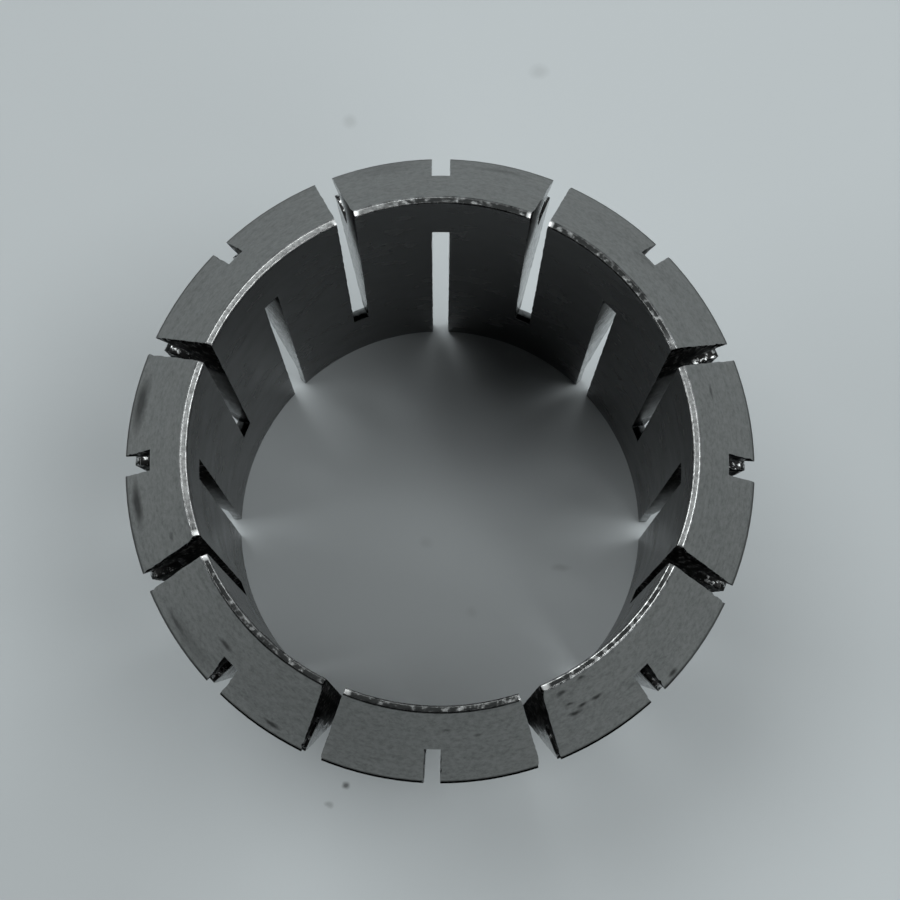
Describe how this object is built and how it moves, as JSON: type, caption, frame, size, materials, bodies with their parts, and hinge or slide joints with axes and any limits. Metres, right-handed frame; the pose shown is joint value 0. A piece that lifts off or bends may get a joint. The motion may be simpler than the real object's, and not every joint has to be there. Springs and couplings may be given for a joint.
{
  "type": "er collet",
  "caption": "Slotted tapered spring collet sleeve that grips a round tool shank in its bore.",
  "frame": {"origin": "centre of the rear end face, the small end that the collet stands on, on the bore's axis", "axes": "+Z along the bore's axis to the front face, where the shank enters; +X through the middle of a rear slot"},
  "size_m": [0.041, 0.041, 0.046],
  "materials": {
    "steel": "hardened and ground spring steel, satin dark grey, oiled, lightly stained, bright worn edges"
  },
  "bodies": {
    "root": {"collet": "steel"}
  },
  "joints": []
}
